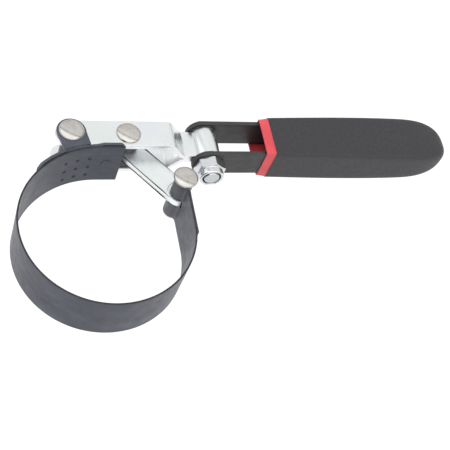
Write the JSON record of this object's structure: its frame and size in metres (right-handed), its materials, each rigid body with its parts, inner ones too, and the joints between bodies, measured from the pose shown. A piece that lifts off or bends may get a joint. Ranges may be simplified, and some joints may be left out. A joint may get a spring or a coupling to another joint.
{
  "type": "oil filter wrench",
  "caption": "Band wrench whose lever and link draw a steel strap tight round an oil filter; the gripped handle swivels on a bolt.",
  "frame": {"origin": "centre of the band's ring, half way up the band", "axes": "+Z along the ring's axis, +X along the handle at rest, +Y from the ring towards the lever"},
  "size_m": [0.2233, 0.1008, 0.0306],
  "materials": {
    "strap_steel": "satin blued spring steel",
    "bracket_black": "satin black",
    "rivet_nickel": "polished nickel",
    "spacer_steel": "plain dark steel",
    "lever_zinc": "bright zinc plate",
    "frame_black": "satin black",
    "bolt_zinc": "bright zinc plate",
    "nylon_black": "matte",
    "sleeve_red": "satin vinyl",
    "grip_black": "matte fine-grained vinyl"
  },
  "bodies": {
    "strap_and_bracket": {"band_anchor_half": "strap_steel", "anchor_bracket": "bracket_black", "saddle_rivet": "strap_steel", "anchor_rivet": "rivet_nickel", "anchor_spacer": "spacer_steel"},
    "lever": {"lever": "lever_zinc", "link_rivet": "rivet_nickel", "link_spacers": "spacer_steel"},
    "link": {"link": "lever_zinc"},
    "strap_end": {"band_end_half": "strap_steel", "end_loop": "bracket_black", "end_rivet": "rivet_nickel"},
    "handle": {"handle_frame": "frame_black", "swivel_bolt": "bolt_zinc", "lock_nut": "bolt_zinc", "nut_insert": "nylon_black", "friction_washers": "spacer_steel", "handle_sleeve": "sleeve_red", "grip": "grip_black"}
  },
  "joints": [
    {"name": "lever_pivot", "type": "hinge", "parent": "strap_and_bracket", "child": "lever", "pos_m": [-0.01, 0.0495, 0], "axis": [0, 0, 1], "range_deg": [0, 35]},
    {"name": "link_pivot", "type": "hinge", "parent": "lever", "child": "link", "pos_m": [0.0164, 0.0494, 0], "axis": [0, 0, 1], "range_deg": [-48, 0.5]},
    {"name": "band_flex", "type": "hinge", "parent": "strap_and_bracket", "child": "strap_end", "pos_m": [-0.02687, -0.02687, 0], "axis": [0, 0, 1], "range_deg": [-0.5, 11]},
    {"name": "handle_swivel", "type": "hinge", "parent": "lever", "child": "handle", "pos_m": [0.0558, 0.0494, 0], "axis": [0, 1, 0], "range_deg": [-90, 90]}
  ],
  "couplings": [
    {"joint": "link_pivot", "follows": "lever_pivot", "ratio": -1.354},
    {"joint": "band_flex", "follows": "lever_pivot", "ratio": 0.3023}
  ]
}
